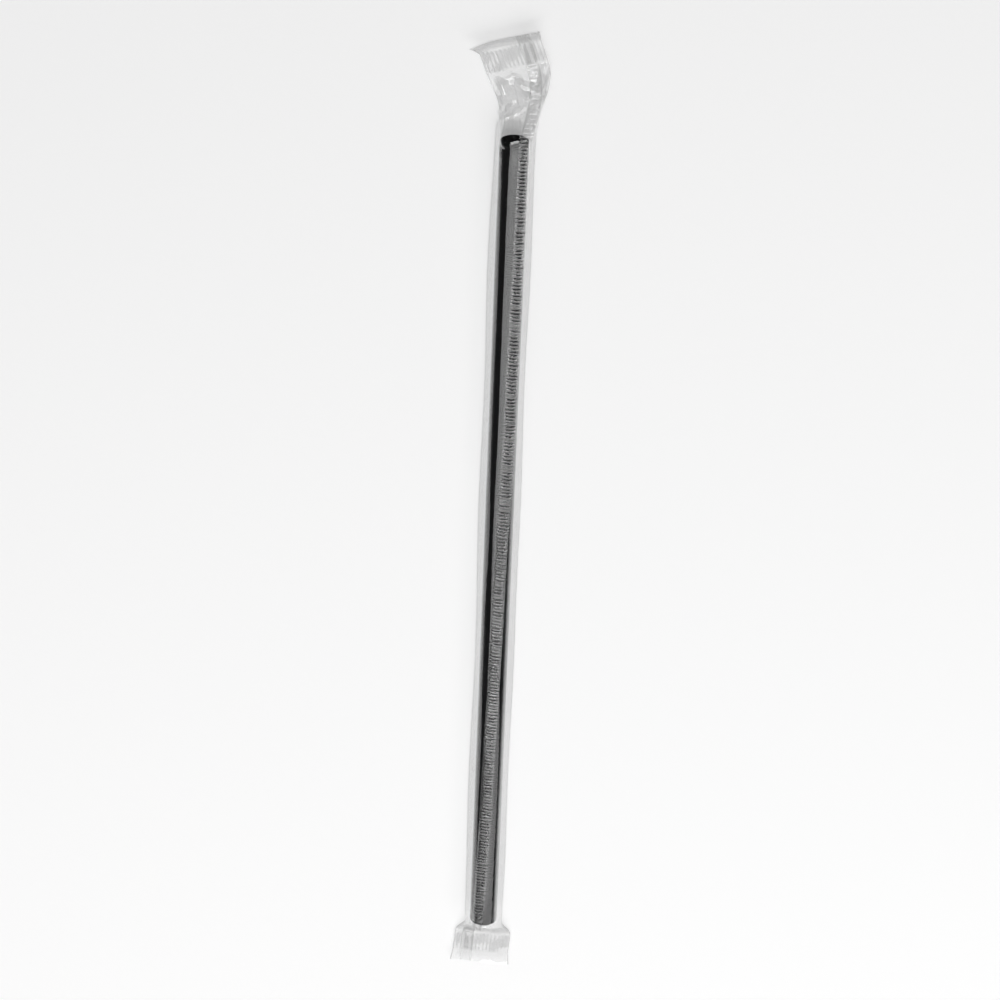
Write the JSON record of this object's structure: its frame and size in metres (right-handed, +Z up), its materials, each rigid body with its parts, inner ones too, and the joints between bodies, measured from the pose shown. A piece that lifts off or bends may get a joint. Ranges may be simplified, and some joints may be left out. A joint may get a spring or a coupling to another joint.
{
  "type": "wrapped drinking straw",
  "caption": "Black plastic drinking straw sealed in a loose clear film sleeve with a ribbed fin seal along it and a crimped flat seal at each end.",
  "frame": {"origin": "below the middle of the straw's length, on the plane that the wrapper's flat underside lies on", "axes": "+X along the straw towards the end with the long film overhang, +Z up, +Y across"},
  "size_m": [0.2366, 0.0148, 0.0077],
  "materials": {
    "straw_plastic": "black polypropylene, smooth and glossy as extruded",
    "clear_film": "clear polypropylene film, glossy, ribbed at its seals"
  },
  "bodies": {
    "root": {"straw": "straw_plastic", "wrapper": "clear_film"}
  },
  "joints": []
}
